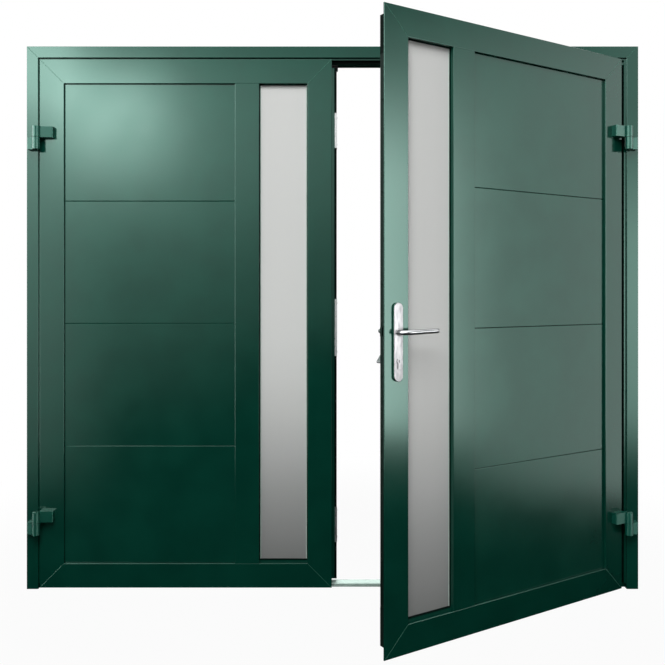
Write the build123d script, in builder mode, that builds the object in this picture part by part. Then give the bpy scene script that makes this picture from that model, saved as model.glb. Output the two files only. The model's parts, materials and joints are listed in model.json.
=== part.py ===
from build123d import *
import os

os.makedirs("parts", exist_ok=True)

# Side hinged garage door with two leaves, in millimetres, +Z up, street side towards -Y.
# The origin is on the floor, midway between the jambs and midway through the frame's depth.
# The left leaf is closed and the right leaf stands open, as in the photo.

# Outer frame
frame_width = 2400
frame_height = 2130
frame_depth = 64
frame_face = 45
stop_setback = 24
stop_width = 22
edge_round = 1.5
fixing_bore = 10.5
fixing_end = 180
threshold_height = 19
threshold_nose = 13.5
threshold_crown = 4
threshold_fall = 12

# Leaves
leaf_gap = 6
meeting_gap = 6
floor_gap = 5
leaf_depth = 60
profile_face = 95
shell_depth = 16
flange_depth = 5
rebate_step = 28
panel_overlap = 22
break_depth = 20
break_inset = 2
bar_joint = 1
open_angle = 32.2

# Infill: panel sections, panes and their seals
panel_depth = 40
panel_recess = 10
panel_fit = 1
panel_count = 4
joint_chamfer = 2
tongue_width = 16
tongue_height = 10
tongue_fit = 0.5
pane_width = 190
glass_depth = 24
glass_bite = 14
seal_depth = 3
seal_show = 3
sill_show = 14

# Seals on the stops and the meeting edge
gasket_depth = 3
gasket_width = 14
gasket_inset = 1
meeting_gasket_width = 9.5

# Hinges
hinge_proud = 31
barrel_radius = 14.5
lower_hinge_rise = 263.5
upper_hinge_drop = 311
knuckle_gap = 1
leaf_knuckle = 42
frame_knuckle = 46
arm_reach = 62.5
arm_proud = 29
arm_end_proud = 23
arm_round = 4
arm_relief = 8
frame_arm_reach = 38
pin_radius = 6
running_fit = 0.05
pin_length = 34
pin_clearance = 2

# Passive leaf's rebate profile and keeps
rebate_reach = 16.5
keep_thickness = 1.5
keep_lip = 9
end_keep_length = 138
lower_keep_rise = 173
upper_keep_drop = 206
latch_keep_above = 100
latch_keep_below = 125
cap_rise = 7
cap_drop = 5
cap_reach = 5
cap_setback = 2
cap_start = 6
keep_setback = 2

# Lock and handles
handle_inset = 50
spindle_height = 1038
cylinder_drop = 92
plate_width = 34.7
plate_above = 94
plate_below = 157
plate_depth = 9
plate_bevel = 2
spindle_side = 8
neck_radius = 8.3
neck_seat = 2
lever_standoff = 48
lever_reach = 131
lever_bend = 27
lever_tilt = 1.5
tip_bevel = 2
cylinder_radius = 8.5
cylinder_tail = 10
cylinder_drop_length = 33
cylinder_proud = 3
cylinder_fit = 0.3
faceplate_width = 20
faceplate_thickness = 2.5
faceplate_end = 146
latch_proud = 4
latch_width = 12
latch_height = 30
keyway_width = 2.5
keyway_height = 9
keyway_depth = 12
turn_angle = 35
turn_shaft_radius = 5
turn_seat = 10
turn_gap = 1
turn_base_radius = 9
turn_base_depth = 5
turn_length = 22
turn_span = 30
turn_thickness = 9
turn_bevel = 1.5

# Sizes that follow
stop_edge = frame_face + stop_width
leaf_top = frame_height - frame_face - leaf_gap
leaf_bottom = floor_gap
leaf_height = leaf_top - leaf_bottom
hinge_edge = frame_width / 2 - frame_face - leaf_gap
free_edge = meeting_gap / 2
leaf_width = hinge_edge - free_edge
hinge_x = hinge_edge + leaf_gap / 2
inner_edge = profile_face - panel_overlap
inner_shell_front = shell_depth + break_depth
hinge_heights = (leaf_bottom + lower_hinge_rise, leaf_top - upper_hinge_drop)
keep_spans = (
    (leaf_bottom + lower_keep_rise, leaf_bottom + lower_keep_rise + end_keep_length),
    (spindle_height - latch_keep_below, spindle_height + latch_keep_above),
    (leaf_top - upper_keep_drop - end_keep_length, leaf_top - upper_keep_drop),
)
faceplate_span = (leaf_bottom + faceplate_end, leaf_top - faceplate_end)


def deep(depth):
    """Y of a plane this far behind the street face of the frame."""
    return depth - frame_depth / 2


right_hinge = Axis((hinge_x, deep(-hinge_proud), 0), (0, 0, 1))


def save(builder, node, side=0):
    """Write one node; pieces of the right leaf are first swung to the open position."""
    shape = builder.part
    if side > 0:
        shape = shape.rotate(right_hinge, open_angle)
    shape.label = node
    export_step(shape, f"parts/{node}.step")


def member_plane(start, inward, along):
    """Plane across a frame member: X runs inwards from its outer edge, Y runs back from the street."""
    return Plane(origin=start, x_dir=inward, z_dir=along)


def mitre(start, inward, along, length, ends):
    """Cut the current part at 45 degrees at its start and its end, where asked."""
    first = Vector(*along) - Vector(*inward)
    last = Vector(*along) + Vector(*inward)
    finish = Vector(*start) + Vector(*along) * length
    if ends[0]:
        split(bisect_by=Plane(origin=start, z_dir=first), keep=Keep.TOP)
    if ends[1]:
        split(bisect_by=Plane(origin=finish, z_dir=last), keep=Keep.BOTTOM)


def block(x_range, depth_range, z_range, mode=Mode.ADD):
    """Box between two X values, two depths and two heights."""
    sizes = [abs(r[1] - r[0]) for r in (x_range, depth_range, z_range)]
    middle = (sum(x_range) / 2, deep(sum(depth_range) / 2), sum(z_range) / 2)
    with Locations(middle):
        Box(*sizes, mode=mode)


def cylinder_outline(fit, mode=Mode.ADD):
    """Outline of the lock cylinder, a round barrel over a narrow tail, grown by a fit."""
    tail = cylinder_drop_length - cylinder_radius + 2 * fit
    with Locations((0, -cylinder_drop)):
        Circle(cylinder_radius + fit, mode=mode)
    with Locations((0, -cylinder_drop - (cylinder_drop_length - cylinder_radius) / 2)):
        Rectangle(cylinder_tail + 2 * fit, tail, mode=mode)


def lock_cut(mode=Mode.ADD):
    """Holes for the lever neck and the lock cylinder, drawn about the spindle."""
    Circle(neck_radius + running_fit, mode=mode)
    cylinder_outline(cylinder_fit, mode)


def hinge_outline(side, way, reach):
    """Plan of one hinge half: the round barrel and an arm that thins towards its end on the face."""
    axle = side * hinge_x
    relief = deep(-hinge_proud / 2)
    Polygon(
        (axle, deep(-arm_proud)),
        (axle + way * reach, deep(-arm_end_proud)),
        (axle + way * reach, deep(0)),
        (axle + way * arm_relief, deep(0)),
        (axle + way * arm_relief, relief),
        (axle, relief),
        align=None,
    )
    fillet(vertices().sort_by(Axis.X)[::way][-2:].sort_by(Axis.Y)[0], arm_round)
    with Locations((axle, deep(-hinge_proud))):
        Circle(barrel_radius)


# Jambs and head: an L section, the street leg beside the leaf and the stop behind it
half_width = frame_width / 2
frame_members = {
    "left_jamb": ((-half_width, deep(0), 0), (1, 0, 0), (0, 0, 1), frame_height, (False, True)),
    "right_jamb": ((half_width, deep(0), frame_height), (-1, 0, 0), (0, 0, -1), frame_height, (True, False)),
    "head": ((-half_width, deep(0), frame_height), (0, 0, -1), (1, 0, 0), frame_width, (True, True)),
}
fixing_step = (frame_height - 2 * fixing_end) / 3
for node, (start, inward, along, length, ends) in frame_members.items():
    with BuildPart() as frame_member:
        with BuildSketch(member_plane(start, inward, along)):
            with BuildLine():
                Polyline(
                    (0, 0),
                    (frame_face, 0),
                    (frame_face, stop_setback),
                    (stop_edge, stop_setback),
                    (stop_edge, frame_depth),
                    (0, frame_depth),
                    close=True,
                )
            make_face()
            fillet(vertices().sort_by(Axis.Y)[:2], edge_round)
        extrude(amount=length)
        mitre(start, inward, along, length, ends)
        if node != "head":
            middle_x = start[0] + inward[0] * stop_edge / 2
            middle_y = deep((stop_setback + frame_depth) / 2)
            heights = [fixing_end + fixing_step * k for k in range(4)]
            with Locations(*[(middle_x, middle_y, z) for z in heights]):
                Cylinder(fixing_bore / 2, 2 * stop_edge, rotation=(0, 90, 0), mode=Mode.SUBTRACT)
    save(frame_member, node)

# Threshold between the stops: low nose to the street, crown, short fall to the inside
threshold_half = half_width - stop_edge
with BuildPart() as threshold:
    with BuildSketch(Plane.YZ.offset(-threshold_half)):
        with BuildLine():
            Polyline(
                (deep(stop_setback), 0),
                (deep(stop_setback), threshold_nose - edge_round),
                (deep(stop_setback + edge_round), threshold_nose),
                (deep(frame_depth - threshold_fall - threshold_crown), threshold_height),
                (deep(frame_depth - threshold_fall), threshold_height),
                (deep(frame_depth), threshold_nose),
                (deep(frame_depth), 0),
                close=True,
            )
        make_face()
    extrude(amount=2 * threshold_half)
save(threshold, "threshold")

# Seal strips on the front of the stops
seal_x = half_width - stop_edge
seal_z = frame_height - stop_edge
seal_front = stop_setback - gasket_depth
with BuildPart() as stop_seals:
    for side in (-1, 1):
        block(
            (side * (seal_x + gasket_inset), side * (seal_x + gasket_inset + gasket_width)),
            (seal_front, stop_setback),
            (threshold_height + gasket_inset, seal_z),
        )
    block(
        (-seal_x, seal_x),
        (seal_front, stop_setback),
        (seal_z + gasket_inset, seal_z + gasket_inset + gasket_width),
    )
save(stop_seals, "stop_seals")

# Frame halves of the hinges: lower knuckle, block on the jamb and the standing pin
for side, leaf in ((-1, "left"), (1, "right")):
    for level, junction in zip(("lower", "upper"), hinge_heights):
        top = junction - knuckle_gap / 2
        with BuildPart() as frame_half:
            with BuildSketch(Plane.XY.offset(top - frame_knuckle)):
                hinge_outline(side, side, frame_arm_reach)
            extrude(amount=frame_knuckle)
            with BuildSketch(Plane.XY.offset(top)):
                with Locations((side * hinge_x, deep(-hinge_proud))):
                    Circle(pin_radius)
            extrude(amount=pin_length)
        save(frame_half, f"{leaf}_{level}_frame_hinge")

# The two leaves, drawn closed
for side, leaf in ((-1, "left"), (1, "right")):
    low, high = sorted((side * hinge_edge, side * free_edge))
    stiles = ("hinge_stile", "meeting_stile") if side < 0 else ("meeting_stile", "hinge_stile")
    members = {
        stiles[0]: ((low, deep(0), leaf_bottom), (1, 0, 0), (0, 0, 1), leaf_height),
        stiles[1]: ((high, deep(0), leaf_top), (-1, 0, 0), (0, 0, -1), leaf_height),
        "top_rail": ((low, deep(0), leaf_top), (0, 0, -1), (1, 0, 0), leaf_width),
        "bottom_rail": ((high, deep(0), leaf_bottom), (0, 0, 1), (-1, 0, 0), leaf_width),
    }
    handle_x = side * (free_edge + handle_inset)
    handle_plane = Plane(origin=(handle_x, deep(leaf_depth), spindle_height), x_dir=(1, 0, 0), z_dir=(0, -1, 0))

    # Stiles and rails: a street shell and an inside shell, mitred together at the corners
    for node, (start, inward, along, length) in members.items():
        with BuildPart() as leaf_member:
            with BuildSketch(member_plane(start, inward, along)):
                with Locations((profile_face / 2, flange_depth / 2)):
                    Rectangle(profile_face, flange_depth)
                with Locations(((rebate_step + profile_face) / 2, shell_depth / 2)):
                    Rectangle(profile_face - rebate_step, shell_depth)
                fillet(vertices().sort_by(Axis.Y)[:2], edge_round)
                with Locations(((rebate_step + inner_edge) / 2, (inner_shell_front + leaf_depth) / 2)):
                    Rectangle(inner_edge - rebate_step, leaf_depth - inner_shell_front)
            extrude(amount=length)
            mitre(start, inward, along, length, (True, True))
            if side > 0 and node == "meeting_stile":
                with BuildSketch(handle_plane):
                    lock_cut()
                extrude(amount=leaf_depth, mode=Mode.SUBTRACT)
        save(leaf_member, f"{leaf}_{node}", side)

    # Mullion between the panels and the pane
    pane_edge = side * (free_edge + profile_face)
    mullion_x = side * (free_edge + profile_face + pane_width + profile_face / 2)
    mullion_half = profile_face / 2 - panel_overlap
    with BuildPart() as mullion:
        with BuildSketch(Plane.XY.offset(leaf_bottom + profile_face)):
            with Locations((mullion_x, deep(shell_depth / 2))):
                Rectangle(profile_face, shell_depth)
            fillet(vertices().sort_by(Axis.Y)[:2], edge_round)
        extrude(amount=leaf_height - 2 * profile_face)
        block(
            (mullion_x - mullion_half, mullion_x + mullion_half),
            (inner_shell_front, leaf_depth),
            (leaf_bottom + inner_edge, leaf_top - inner_edge),
        )
    save(mullion, f"{leaf}_mullion", side)

    # Insulating bars that join the street shells to the inside shells
    bar_outer = rebate_step + break_inset
    bar_inner = inner_edge - break_inset
    bar_range = (shell_depth, inner_shell_front)
    bar_foot = leaf_bottom + bar_inner
    bar_top = leaf_top - bar_inner
    with BuildPart() as thermal_breaks:
        block(
            (side * (hinge_edge - bar_outer), side * (hinge_edge - bar_inner)),
            bar_range,
            (leaf_bottom + bar_outer, leaf_top - bar_outer),
        )
        block(
            (side * (free_edge + bar_outer), side * (free_edge + bar_inner)),
            bar_range,
            (leaf_bottom + bar_outer, leaf_top - bar_outer),
        )
        bar_ends = (side * (hinge_edge - bar_inner - bar_joint), side * (free_edge + bar_inner + bar_joint))
        block(bar_ends, bar_range, (leaf_bottom + bar_outer, bar_foot))
        block(bar_ends, bar_range, (bar_top, leaf_top - bar_outer))
        block(
            (mullion_x - mullion_half + break_inset, mullion_x + mullion_half - break_inset),
            bar_range,
            (bar_foot + bar_joint, bar_top - bar_joint),
        )
        if side > 0:
            with BuildSketch(handle_plane):
                lock_cut()
            extrude(amount=leaf_depth, mode=Mode.SUBTRACT)
    save(thermal_breaks, f"{leaf}_thermal_breaks", side)

    # Panel sections, tongued on top and grooved below
    stack_bottom = leaf_bottom + inner_edge + panel_fit
    section_height = (leaf_height - 2 * inner_edge - 2 * panel_fit) / panel_count
    panel_far = side * (hinge_edge - inner_edge - panel_fit)
    panel_near = mullion_x + side * (mullion_half + panel_fit)
    field_far = side * (hinge_edge - profile_face - panel_fit)
    field_near = mullion_x + side * (profile_face / 2 + panel_fit)
    rim_range = (panel_recess, shell_depth)
    front = deep(panel_recess)
    back = deep(shell_depth + panel_depth)
    core = deep(shell_depth + panel_depth / 2)
    for k in range(panel_count):
        foot = stack_bottom + k * section_height
        crown = foot + section_height
        outline = [(front, foot + joint_chamfer), (front, crown - joint_chamfer), (front + joint_chamfer, crown)]
        if k < panel_count - 1:
            outline += [
                (core - tongue_width / 2, crown),
                (core - tongue_width / 2, crown + tongue_height),
                (core + tongue_width / 2, crown + tongue_height),
                (core + tongue_width / 2, crown),
            ]
        outline += [
            (back - joint_chamfer, crown),
            (back, crown - joint_chamfer),
            (back, foot + joint_chamfer),
            (back - joint_chamfer, foot),
        ]
        if k > 0:
            groove_half = tongue_width / 2 + tongue_fit
            outline += [
                (core + groove_half, foot),
                (core + groove_half, foot + tongue_height + tongue_fit),
                (core - groove_half, foot + tongue_height + tongue_fit),
                (core - groove_half, foot),
            ]
        outline.append((front + joint_chamfer, foot))
        with BuildPart() as panel:
            with BuildSketch(Plane.YZ.offset(min(panel_far, panel_near))):
                with BuildLine():
                    Polyline(*outline, close=True)
                make_face()
            extrude(amount=abs(panel_far - panel_near))
            # Rims that sit behind the flanges of the stiles, rails and mullion
            block((panel_far, field_far), rim_range, (foot, crown), Mode.SUBTRACT)
            block((field_near, panel_near), rim_range, (foot, crown), Mode.SUBTRACT)
            if k == 0:
                rim_top = leaf_bottom + profile_face + panel_fit
                block((panel_far, panel_near), rim_range, (foot, rim_top), Mode.SUBTRACT)
            if k == panel_count - 1:
                rim_foot = leaf_top - profile_face - panel_fit
                block((panel_far, panel_near), rim_range, (rim_foot, crown), Mode.SUBTRACT)
        save(panel, f"{leaf}_panel_{k + 1}", side)

    # Pane of frosted double glazing, its street seal and the inside beads
    pane_low, pane_high = sorted((pane_edge, pane_edge + side * pane_width))
    pane_foot = leaf_bottom + profile_face
    pane_top = leaf_top - profile_face
    glass_front = shell_depth + seal_depth
    with BuildPart() as glass:
        block(
            (pane_low - glass_bite, pane_high + glass_bite),
            (glass_front, glass_front + glass_depth),
            (pane_foot - glass_bite, pane_top + glass_bite),
        )
    save(glass, f"{leaf}_glass", side)

    with BuildPart() as glazing_seal:
        block(
            (pane_low - glass_bite, pane_high + glass_bite),
            (shell_depth, glass_front),
            (pane_foot - glass_bite, pane_top + glass_bite),
        )
        block(
            (pane_low + seal_show, pane_high - seal_show),
            (shell_depth, glass_front),
            (pane_foot + sill_show, pane_top - seal_show),
            Mode.SUBTRACT,
        )
    save(glazing_seal, f"{leaf}_glazing_seal", side)

    panel_low, panel_high = sorted(
        (side * (hinge_edge - inner_edge), mullion_x + side * mullion_half)
    )
    glass_low, glass_high = sorted(
        (mullion_x - side * mullion_half, side * (free_edge + inner_edge))
    )
    with BuildPart() as beads:
        for x0, x1, bead_front in (
            (panel_low, panel_high, shell_depth + panel_depth),
            (glass_low, glass_high, glass_front + glass_depth),
        ):
            block((x0, x1), (bead_front, leaf_depth), (leaf_bottom + inner_edge, leaf_top - inner_edge))
            block(
                (x0 + panel_overlap, x1 - panel_overlap),
                (bead_front, leaf_depth),
                (pane_foot, pane_top),
                Mode.SUBTRACT,
            )
    save(beads, f"{leaf}_inside_beads", side)

    # Leaf halves of the hinges: upper knuckle bored for the pin, arm on the hinge stile
    for level, junction in zip(("lower", "upper"), hinge_heights):
        foot = junction + knuckle_gap / 2
        with BuildPart() as leaf_half:
            with BuildSketch(Plane.XY.offset(foot)):
                hinge_outline(side, -side, arm_reach)
            extrude(amount=leaf_knuckle)
            with BuildSketch(Plane.XY.offset(foot)):
                with Locations((side * hinge_x, deep(-hinge_proud))):
                    Circle(pin_radius + running_fit)
            extrude(amount=pin_length + pin_clearance, mode=Mode.SUBTRACT)
        save(leaf_half, f"{leaf}_{level}_leaf_hinge", side)

# Passive leaf: rebate profile behind the meeting edge, its seal, top cap and the three keeps
rebate_back = -(free_edge + rebate_step)
rebate_foot = leaf_bottom + rebate_step
rebate_top = leaf_top - rebate_step
with BuildPart() as rebate_profile:
    block((rebate_back, rebate_reach), (stop_setback, leaf_depth), (rebate_foot, rebate_top))
save(rebate_profile, "left_rebate_profile")

# The seal runs along the outer edge of the profile, between the keeps
run_starts = [rebate_foot] + [span[1] for span in keep_spans]
run_ends = [span[0] for span in keep_spans] + [rebate_top]
with BuildPart() as rebate_seal:
    for run_start, run_end in zip(run_starts, run_ends):
        block(
            (rebate_reach - meeting_gasket_width, rebate_reach),
            (seal_front, stop_setback),
            (run_start + gasket_inset, run_end - gasket_inset),
        )
save(rebate_seal, "left_rebate_seal")

with BuildPart() as rebate_cap:
    cap_range = (stop_setback + cap_setback, leaf_depth - cap_setback)
    block((rebate_back + cap_start, rebate_reach + cap_reach), cap_range, (rebate_top, rebate_top + cap_rise))
    block((rebate_reach, rebate_reach + cap_reach), cap_range, (rebate_top - cap_drop, rebate_top))
save(rebate_cap, "left_rebate_cap")

with BuildPart() as keeps:
    for span in keep_spans:
        keep_edge = rebate_reach + keep_thickness
        keep_front = stop_setback - keep_thickness
        block((rebate_reach, keep_edge), (keep_front, leaf_depth - keep_setback), span)
        block((keep_edge - keep_lip, keep_edge), (keep_front, stop_setback), span)
save(keeps, "left_keeps")

# Active leaf: lock face with the sprung latch
lock_edge = free_edge + rebate_step
lock_middle = (inner_shell_front + leaf_depth) / 2
with BuildPart() as lock_face:
    face_range = (lock_middle - faceplate_width / 2, lock_middle + faceplate_width / 2)
    block((lock_edge - faceplate_thickness, lock_edge), face_range, faceplate_span)
    block(
        (lock_edge - faceplate_thickness - latch_proud, lock_edge - faceplate_thickness),
        (lock_middle - latch_width / 2, lock_middle + latch_width / 2),
        (spindle_height - latch_height / 2, spindle_height + latch_height / 2),
    )
save(lock_face, "lock_face", 1)

# Backplates, rounded at both ends, on the street face and the inside face of the meeting stile
lock_x = free_edge + handle_inset
street_face = Plane(origin=(lock_x, deep(0), spindle_height), x_dir=(1, 0, 0), z_dir=(0, -1, 0))
inside_face = Plane(origin=(lock_x, deep(leaf_depth), spindle_height), x_dir=(-1, 0, 0), z_dir=(0, 1, 0))
rim_order = {"outside_backplate": 0, "inside_backplate": -1}
for node, plane in (("outside_backplate", street_face), ("inside_backplate", inside_face)):
    with BuildPart() as backplate:
        with BuildSketch(plane):
            with Locations((0, (plate_above - plate_below) / 2)):
                SlotOverall(plate_above + plate_below, plate_width, rotation=90)
            lock_cut(Mode.SUBTRACT)
        extrude(amount=plate_depth)
        chamfer(faces().sort_by(Axis.Y)[rim_order[node]].outer_wire().edges(), plate_bevel)
    save(backplate, node, 1)

# Lock cylinder through the stile, with its keyway outside and a bore for the thumb turn inside
cylinder_front = -plate_depth - cylinder_proud
cylinder_back = leaf_depth + plate_depth + cylinder_proud
with BuildPart() as lock_cylinder:
    with BuildSketch(street_face.offset(-cylinder_back)):
        cylinder_outline(0)
    extrude(amount=cylinder_back - cylinder_front)
    with BuildSketch(street_face.offset(-cylinder_front)):
        with Locations((0, -cylinder_drop)):
            Rectangle(keyway_width, keyway_height)
    extrude(amount=-keyway_depth, mode=Mode.SUBTRACT)
    with BuildSketch(street_face.offset(-cylinder_back)):
        with Locations((0, -cylinder_drop)):
            Circle(turn_shaft_radius + running_fit)
    extrude(amount=turn_seat + turn_gap, mode=Mode.SUBTRACT)
save(lock_cylinder, "lock_cylinder", 1)

# Levers: a round neck in the backplate, a bend and a grip that rises towards its bevelled tip
for node, base, way in (("outside_lever", 0, -1), ("inside_lever", leaf_depth, 1)):
    bend_start = deep(base + way * (lever_standoff - lever_bend))
    grip_y = deep(base + way * lever_standoff)
    grip_way = Vector(1, 0, 0).rotate(Axis.Y, -lever_tilt)
    bend_way = Vector(0, 0, -way).rotate(Axis.Y, -lever_tilt)
    bend_axle = Vector(lock_x, bend_start, spindle_height) + grip_way * lever_bend
    grip_start = Vector(lock_x, grip_y, spindle_height) + grip_way * lever_bend
    with BuildPart() as lever:
        with BuildSketch(Plane((lock_x, deep(base + way * neck_seat), spindle_height), z_dir=(0, way, 0))):
            Circle(neck_radius)
        extrude(amount=lever_standoff - lever_bend - neck_seat)
        with BuildSketch(Plane((lock_x, bend_start, spindle_height), z_dir=(0, way, 0))):
            Circle(neck_radius)
        revolve(axis=Axis(bend_axle, bend_way), revolution_arc=90)
        with BuildSketch(Plane(grip_start, z_dir=grip_way)):
            Circle(neck_radius)
        extrude(amount=lever_reach - lever_bend)
        chamfer(edges().filter_by(GeomType.CIRCLE).sort_by(Axis.X)[-1], tip_bevel)
    save(lever, node, 1)

# Square spindle between the two levers
with BuildPart() as spindle:
    with BuildSketch(street_face.offset(neck_seat)):
        Rectangle(spindle_side, spindle_side)
    extrude(amount=-leaf_depth - 2 * neck_seat)
save(spindle, "lever_spindle", 1)

# Thumb turn on the inside of the cylinder
with BuildPart() as thumb_turn:
    with BuildSketch(inside_face.offset(cylinder_back - leaf_depth - turn_seat)):
        with Locations((0, -cylinder_drop)):
            Circle(turn_shaft_radius)
    extrude(amount=turn_seat + turn_gap)
    with BuildSketch(inside_face.offset(cylinder_back - leaf_depth + turn_gap)):
        with Locations((0, -cylinder_drop)):
            Circle(turn_base_radius)
    extrude(amount=turn_base_depth)
    with BuildSketch(inside_face.offset(cylinder_back - leaf_depth + turn_gap + turn_base_depth)):
        with Locations((0, -cylinder_drop)):
            SlotOverall(turn_span, turn_thickness, rotation=90 + turn_angle)
    extrude(amount=turn_length)
    chamfer(faces().sort_by(Axis.Y)[-1].edges(), turn_bevel)
save(thumb_turn, "thumb_turn", 1)
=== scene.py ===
"""Dresses the side hinged garage door in the frame of its CAD model."""
import json
import logging
import math
from dataclasses import dataclass
from enum import Enum
from typing import Any, ClassVar, Iterable, Mapping, Sequence

import bmesh
import bpy
from mathutils import Matrix, Vector


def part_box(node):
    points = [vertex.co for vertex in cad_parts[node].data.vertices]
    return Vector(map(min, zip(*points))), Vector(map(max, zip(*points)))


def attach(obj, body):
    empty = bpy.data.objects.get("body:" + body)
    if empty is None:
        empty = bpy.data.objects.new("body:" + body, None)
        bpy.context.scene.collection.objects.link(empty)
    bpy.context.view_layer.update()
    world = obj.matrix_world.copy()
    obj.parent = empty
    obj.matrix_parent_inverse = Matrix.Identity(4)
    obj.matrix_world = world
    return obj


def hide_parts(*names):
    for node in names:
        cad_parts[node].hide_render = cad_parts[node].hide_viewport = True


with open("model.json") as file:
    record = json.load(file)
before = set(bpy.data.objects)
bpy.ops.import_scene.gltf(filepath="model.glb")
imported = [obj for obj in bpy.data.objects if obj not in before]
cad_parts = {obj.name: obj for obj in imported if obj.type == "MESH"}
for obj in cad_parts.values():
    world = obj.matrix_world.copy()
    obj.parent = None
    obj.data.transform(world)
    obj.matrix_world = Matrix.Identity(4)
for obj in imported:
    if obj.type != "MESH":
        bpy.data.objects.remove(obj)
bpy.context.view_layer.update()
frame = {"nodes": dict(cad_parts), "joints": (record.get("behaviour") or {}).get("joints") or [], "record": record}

LOG = logging.getLogger("garage_door")
MM = 0.001
# Corners of a mesh that are nearer than this in metres become one
WELD = 1e-6
# Heights in metres that agree in this many digits count as one
SAME_DIGITS = 5
# Nearly all of a noise pattern lies between these two values
NOISE_LOW, NOISE_HIGH = 0.3, 0.7
# Width of the frame's stop beside its rebate
STOP_WIDTH_MM = 22.0
WHITE = (1.0, 1.0, 1.0, 1.0)
SIDES = ("left", "right")
LEVELS = ("lower", "upper")


class Body(Enum):
    """Bodies of the door that pieces ride on."""

    FRAME = "frame"
    LEFT_LEAF = "left_leaf"
    RIGHT_LEAF = "right_leaf"
    LEVER = "lever"


class Slot(Enum):
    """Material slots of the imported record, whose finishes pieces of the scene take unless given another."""

    FRAME_PAINT = "frame_paint"
    FROSTED_GLASS = "frosted_glass"
    BLACK_SEAL = "black_seal"
    BLACK_PLASTIC = "black_plastic"
    HANDLE_METAL = "handle_metal"
    LOCK_STEEL = "lock_steel"


class Finish(Enum):
    """Looks of the door, the first eight named for the slot that they stand in."""

    FRAME_PAINT = "frame_paint"
    PANEL_PAINT = "panel_paint"
    FROSTED_GLASS = "frosted_glass"
    BLACK_SEAL = "black_seal"
    BLACK_PLASTIC = "black_plastic"
    THRESHOLD_METAL = "threshold_metal"
    HANDLE_METAL = "handle_metal"
    LOCK_STEEL = "lock_steel"
    BLASTED_METAL = "blasted_metal"
    BURNISHED_STEEL = "burnished_steel"
    CAST_PAINT_PAINTED_LIGHT = "cast_paint_painted_light"
    JOINT_SEALANT_PAINTED_LIGHT = "joint_sealant_painted_light"
    SEALANT_PAINTED_HIGHLIGHT = "sealant_painted_highlight"


def linear(code: str) -> tuple[float, float, float, float]:
    """Turns an sRGB hex colour into linear RGBA.

    Args:
        code: Six hex digits, with or without a leading hash.

    Returns:
        The colour as linear red, green, blue and an alpha of one.
    """
    digits = code.lstrip("#")
    parts = [int(digits[i : i + 2], 16) / 255 for i in (0, 2, 4)]
    values = [p / 12.92 if p <= 0.04045 else ((p + 0.055) / 1.055) ** 2.4 for p in parts]
    return (values[0], values[1], values[2], 1.0)


def add_node(
    tree: bpy.types.NodeTree,
    kind: str,
    inputs: Mapping[int | str, Any] | None = None,
    output: int | str = 0,
    **settings: Any,
) -> bpy.types.NodeSocket:
    """Adds one node with its settings and links.

    Args:
        tree: Node tree that gets the node.
        kind: Blender's name for the node type.
        inputs: Socket number or name to a value or to another node's output.
        output: Number or name of the output to return.
        **settings: Properties of the node.

    Returns:
        The chosen output, or the first input of a node that has no outputs.
    """
    node = tree.nodes.new(kind)
    for key, value in settings.items():
        setattr(node, key, value)
    for key, value in (inputs or {}).items():
        if isinstance(value, bpy.types.NodeSocket):
            tree.links.new(value, node.inputs[key])
        else:
            node.inputs[key].default_value = value
    return node.outputs[output] if len(node.outputs) else node.inputs[0]


def new_material(name: str) -> tuple[bpy.types.Material, bpy.types.NodeTree]:
    """Starts an empty node material.

    Args:
        name: Name of the real material and its surface.

    Returns:
        The material and its cleared node tree.
    """
    material = bpy.data.materials.new(name)
    material.use_nodes = True
    material.node_tree.nodes.clear()
    return material, material.node_tree


def shade_surface(
    tree: bpy.types.NodeTree,
    tone: bpy.types.NodeSocket,
    stops: Sequence[tuple[float, str]],
    grain: bpy.types.NodeSocket,
    rough: tuple[float, float],
    inputs: Mapping[str, Any],
) -> None:
    """Ends a finish: colours and roughness that follow its patterns, and its shader.

    Args:
        tree: Node tree of the finish.
        tone: Pattern that picks the colour.
        stops: Values of that pattern with their sRGB hex colours, in order.
        grain: Pattern that varies the roughness.
        rough: Roughness at the low and at the high values of the grain.
        inputs: Other inputs of the shader.
    """
    ramp = add_node(tree, "ShaderNodeValToRGB", {"Fac": tone})
    elements = ramp.node.color_ramp.elements
    while len(elements) < len(stops):
        elements.new(0.5)
    for element, (position, code) in zip(elements, stops):
        element.position = position
        element.color = linear(code)
    varied = add_node(
        tree,
        "ShaderNodeMapRange",
        {
            "Value": grain,
            "From Min": NOISE_LOW,
            "From Max": NOISE_HIGH,
            "To Min": rough[0],
            "To Max": rough[1],
        },
    )
    shader = add_node(
        tree,
        "ShaderNodeBsdfPrincipled",
        {"Base Color": ramp, "Roughness": varied, **inputs},
    )
    add_node(tree, "ShaderNodeOutputMaterial", {"Surface": shader})


# Finishes


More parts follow.
